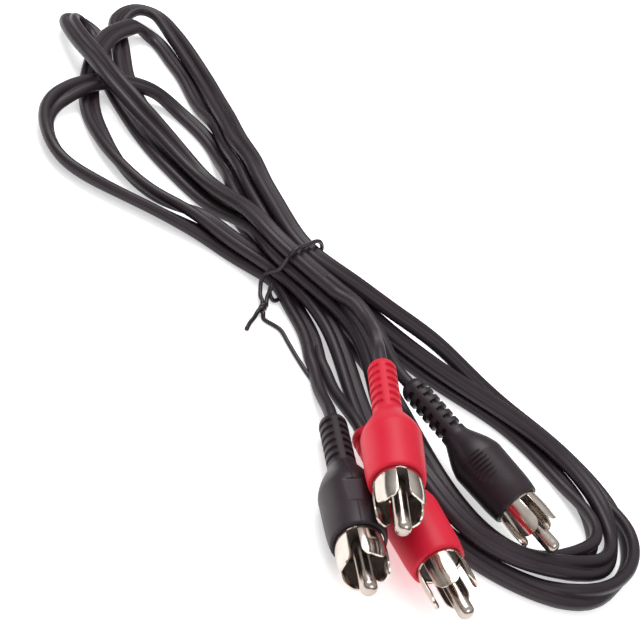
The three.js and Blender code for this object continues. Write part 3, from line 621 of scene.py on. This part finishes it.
def shell_skin(petal_turn):
    """The outside of the ground shell: a band, then four petals with rounded ends."""
    start = BOOT_LENGTH - SHELL_SEAT
    front = BOOT_LENGTH + SHELL_LENGTH
    slot_start = front - PETAL_LENGTH
    half = petal_half_angle(slot_start, front)
    per_petal, per_slot = 24, 6
    pitch = 2 * math.pi / PETALS
    middles = [pitch * i + math.radians(petal_turn) for i in range(PETALS)]
    angles = []
    for middle in middles:
        angles += list(np.linspace(middle - half, middle + half, per_petal + 1))
        angles += list(np.linspace(middle + half, middle + pitch - half, per_slot + 1)[1:-1])
    count = len(angles)
    points, faces = [], []

    def ring(y, r):
        first = len(points)
        points.extend(Vector((r * math.sin(a), y, r * math.cos(a))) * MM for a in angles)
        return [first + j for j in range(count)]

    rows = [ring(y, SHELL_RADIUS) for y in (start, start + 1.5, BOOT_LENGTH - 0.3, slot_start)]
    for low, high in zip(rows, rows[1:]):
        for j in range(count):
            k = (j + 1) % count
            faces.append((low[j], low[k], high[k], high[j]))
    stride = per_petal + per_slot
    for i, middle in enumerate(middles):
        low = rows[-1][i * stride : i * stride + per_petal + 1]
        lengths = list(np.linspace(slot_start, front - PETAL_ROUND, 12)[1:])
        lengths += [front - PETAL_ROUND * (1 - math.sin(u)) for u in np.linspace(0, math.pi / 2, 12)[1:-1]]
        lengths.append(front - 0.004)
        for y in lengths:
            width = petal_half_angle(y, front)
            u = (y - slot_start) / PETAL_LENGTH
            r = SHELL_RADIUS + PETAL_BULGE * math.sin(math.pi * min(u * 1.15, 1.0))
            high = []
            for v in np.linspace(-1, 1, per_petal + 1):
                a = middle + v * width
                high.append(len(points))
                points.append(Vector((r * math.sin(a), y, r * math.cos(a))) * MM)
            for j in range(per_petal):
                faces.append((low[j], low[j + 1], high[j + 1], high[j]))
            low = high
    return points, faces


PIN_START = BOOT_LENGTH - SHELL_SEAT + SHELL_BASE + GAP + INSULATOR_LENGTH
PIN_FRONT = BOOT_LENGTH + SHELL_LENGTH + PIN_REACH
pin_profile = [
    (0, PIN_START - SHANK_SHOWN), (SHANK_RADIUS, PIN_START - SHANK_SHOWN), (SHANK_RADIUS, PIN_START),
    (PIN_RADIUS - 0.08, PIN_START + 0.02), (PIN_RADIUS, PIN_START + 0.1),
]
pin_profile += [(PIN_RADIUS, y) for y in np.linspace(PIN_START + 2, PIN_FRONT - 1.5, 6)]
pin_profile += [
    (PIN_TIP_RADIUS + (PIN_RADIUS - PIN_TIP_RADIUS) * math.cos(u), PIN_FRONT - PIN_NOSE * (1 - math.sin(u)))
    for u in np.linspace(0.05, math.pi / 2, 12)
]
pin_profile.append((0, PIN_FRONT))
insulator_front = PIN_START - 0.1
insulator_radius = SHELL_RADIUS - SHELL_WALL - 0.05
insulator_profile = [
    (0, insulator_front - 2), (insulator_radius, insulator_front - 2),
    (insulator_radius, insulator_front - 0.2), (insulator_radius - 0.2, insulator_front),
    (2.5, insulator_front), (2.3, insulator_front - 0.3), (1.9, insulator_front - 0.3),
    (0, insulator_front - 0.3),
]


def placed(name, shape, matrix, material, node, wall_thickness=0.0):
    """A piece of a plug in its place. A skin with a wall is thickened inwards, and its edges are rounded."""
    points, faces = shape
    made = new_object(name, [matrix @ p for p in points], faces, material)
    if wall_thickness:
        wall = made.modifiers.new("wall", "SOLIDIFY")
        wall.thickness = wall_thickness
        wall.offset = -1
        edge = made.modifiers.new("edge", "BEVEL")
        edge.width = EDGE_ROUND * MM
        edge.segments = 2
        edge.limit_method = "ANGLE"
        edge.angle_limit = math.radians(50)
    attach(made, "root")
    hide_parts(node)
    return made


for plug in PLUGS:
    name = plug["name"]
    matrix = (
        Matrix.Translation(Vector(place(plug["rear"])))
        @ Matrix.Rotation(math.radians(plug["heading"] - 90), 4, "Z")
        @ Matrix.Rotation(math.radians(plug["rise"]), 4, "X")
        @ Matrix.Rotation(math.radians(plug["spin"]), 4, "Y")
    )
    material, slot = (RED_PVC, "red_pvc") if plug["red"] else (BLACK_PVC, "black_pvc")
    placed(name + "_moulding", boot(plug), matrix, material, name + "_boot")
    petals = shell_skin(plug["petal_turn"])
    placed(name + "_petals", petals, matrix, NICKEL, name + "_shell", SHELL_WALL * MM)
    placed(name + "_contact", turned(pin_profile), matrix, PIN_PLATE, name + "_pin")
    spacer = turned(insulator_profile)
    placed(name + "_spacer", spacer, matrix, INSULATOR, name + "_insulator")
    for part in ("_core", "_shield"):
        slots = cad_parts[name + part].data.materials
        slots.clear()
        slots.append(COPPER)

    # Its leg, from one half of the split cord into the boot
    heading, rise = math.radians(plug["heading"]), math.radians(plug["rise"])
    axis = np.array([math.cos(rise) * math.cos(heading), math.cos(rise) * math.sin(heading), math.sin(rise)])
    if plug["end"] == "upper":
        inside, along, sign = cord_line[INSIDE_ROWS::-1], -cord_t[0], -plug["side"]
        across = cord_across[INSIDE_ROWS::-1]
    else:
        inside, along, sign = cord_line[-1 - INSIDE_ROWS :], cord_t[-1], plug["side"]
        across = cord_across[-1 - INSIDE_ROWS :]
    inside = inside[:, :3] + across * (sign * LEAD_RADIUS)
    rear = np.array(plug["rear"], float)
    into_boot = [rear - LEAD * axis, rear, rear + CORD_INSERT * axis]
    points = [*inside, inside[-1] + LEAD * along, *plug["leg"], *into_boot]
    leg_line = spline(points, LEG_STEP, LEG_SOFTNESS)
    leg_line[:, 2] = np.maximum(leg_line[:, 2], LEAD_RADIUS + FLOOR_GAP)
    split_at = int(np.argmin(np.linalg.norm(leg_line[:, :3] - inside[-1], axis=1)))
    hidden = split_at / (len(leg_line) - 1)
    leg = tube(name + "_lead", leg_line, LEAD_RADIUS, 24, CORD_PVC,
               lambda share: LEG_START + (1 - LEG_START) * soft_step(share / (LEG_FULL_SHARE * hidden)))
    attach(leg, "root")
    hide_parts(name + "_leg")

# Twist tie
WIRE_RADIUS = 0.52
WIRE_STEP = 0.35
WIRE_SOFTNESS = 0.25
WIRE_SIDES = 12
TWIST_STEPS = 10
STRAND_OFFSET = WIRE_RADIUS * 1.03
TIE_SLACK = 0.4
reach = LEAD + TIE_SLACK + WIRE_RADIUS
near_side, far_side = NEAR_Y - reach, FAR_Y + reach
under = WIRE_RADIUS + FLOOR_GAP
over = near(3)[2] + LEAD_RADIUS + TIE_SLACK + WIRE_RADIUS
twist_start = np.array([-10.8, -12.2, under + 0.6])
twist_end = np.array([-10, -15.2, under + 0.58])


def twist(phase, outwards):
    """One strand of the single turn that holds the wire's two ends together."""
    run = twist_end - twist_start
    side = np.cross([0, 0, 1.0], run)
    side /= np.linalg.norm(side)
    points = []
    for i in range(TWIST_STEPS + 1):
        share = i / TWIST_STEPS if outwards else 1 - i / TWIST_STEPS
        angle = phase + 2 * math.pi * share
        points.append(twist_start + run * share + STRAND_OFFSET * math.cos(angle) * side
                      + np.array([0, 0, STRAND_OFFSET * math.sin(angle)]))
    return points


tie_points = [
    (-8.6, -24, under), (-9.4, -21, under), (-9.9, -18, under), *twist(math.pi, False),
    (-12.8, -10.9, 1.4), (-14.2, -9.3, 2), (-15.4, -7.9, 3.1), (-15.7, -7.1, 4.6), (-14.9, -6.8, 6),
    (-13.8, near_side - 0.3, 7.2), (-13.1, near_side - 0.2, 9), (-13, near_side - 0.1, over - 1.8),
    (-12.9, near_side + 1.3, over), (-12.4, 0, over + 0.1), (-11.2, far_side - 1.3, over),
    (-10.4, far_side + 0.1, over - 1.8), (-10.4, far_side, 7), (-10.8, far_side, under + 1.4),
    (-10.9, far_side - 1.2, under + 0.25), (-10.9, far_side - 3, under), (-10.8, 0, under),
    (-10.2, near_side + 1, under), (-10.6, near_side - 1, under + 0.2), (-12.2, near_side - 1.2, 1.8),
    (-13, near_side - 0.7, 3.4), (-12.9, near_side - 1, 4), (-12.4, near_side - 1.6, 3),
    (-11.8, near_side - 2.9, 1.6), *twist(0, True),
    (-8.4, -16.2, under), (-5, -15.6, under), (-1, -17.2, under), (3.2, -20, under), (7.6, -22.6, under),
    (11.4, -24.4, under),
]
tie_line = spline(tie_points, WIRE_STEP, WIRE_SOFTNESS)
tie_line[:, 2] = np.maximum(tie_line[:, 2], under)
tie = tube("tie_wire", tie_line, WIRE_RADIUS, WIRE_SIDES, TIE_PVC)
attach(tie, "root")
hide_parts("twist_tie")

# Floor and lights. The floor's half width and the lights' places and sizes are in metres
FLOOR_REACH = 3
paper = moulded("floor_paper", (0.93, 0.93, 0.93, 1), (0.95, 0.95, 0.95, 1), 0.7, 0.02, 200.0, 0.2)
paper_shader = paper.node_tree.nodes["Principled BSDF"]
paper_shader.inputs["Emission Color"].default_value = (1, 1, 1, 1)
paper_shader.inputs["Emission Strength"].default_value = 0.5
corners = [(x * FLOOR_REACH, y * FLOOR_REACH, 0) for x, y in ((-1, -1), (1, -1), (1, 1), (-1, 1))]
floor = new_object("floor", corners, [(0, 1, 2, 3)], paper, smooth=False)

# A studio that is bright overhead and dim near the floor
world = bpy.data.worlds.new("world")
world.use_nodes = True
sky = world.node_tree.nodes
direction = sky.new("ShaderNodeTexCoord")
split = sky.new("ShaderNodeSeparateXYZ")
world.node_tree.links.new(direction.outputs["Generated"], split.inputs["Vector"])
shade = ramp(sky, world.node_tree.links, split.outputs["Z"], grey(0.1), grey(0.8), 0.05, 0.6)
world.node_tree.links.new(shade, sky["Background"].inputs["Color"])
sky["Background"].inputs["Strength"].default_value = 0.8
bpy.context.scene.world = world
bpy.context.scene.view_settings.view_transform = "Standard"


def softbox(name, position, size, power, target=(0, 0, 0)):
    data = bpy.data.lights.new(name, "AREA")
    data.shape = "RECTANGLE"
    data.size, data.size_y = size
    data.energy = power
    made = bpy.data.objects.new(name, data)
    made.location = position
    made.rotation_euler = (Vector(target) - Vector(position)).to_track_quat("-Z", "Y").to_euler()
    bpy.context.scene.collection.objects.link(made)


softbox("key", (-0.35, 0.15, 0.6), (0.5, 0.4), 3.3)
softbox("fill", (0.5, -0.4, 0.55), (0.5, 0.5), 1.7)
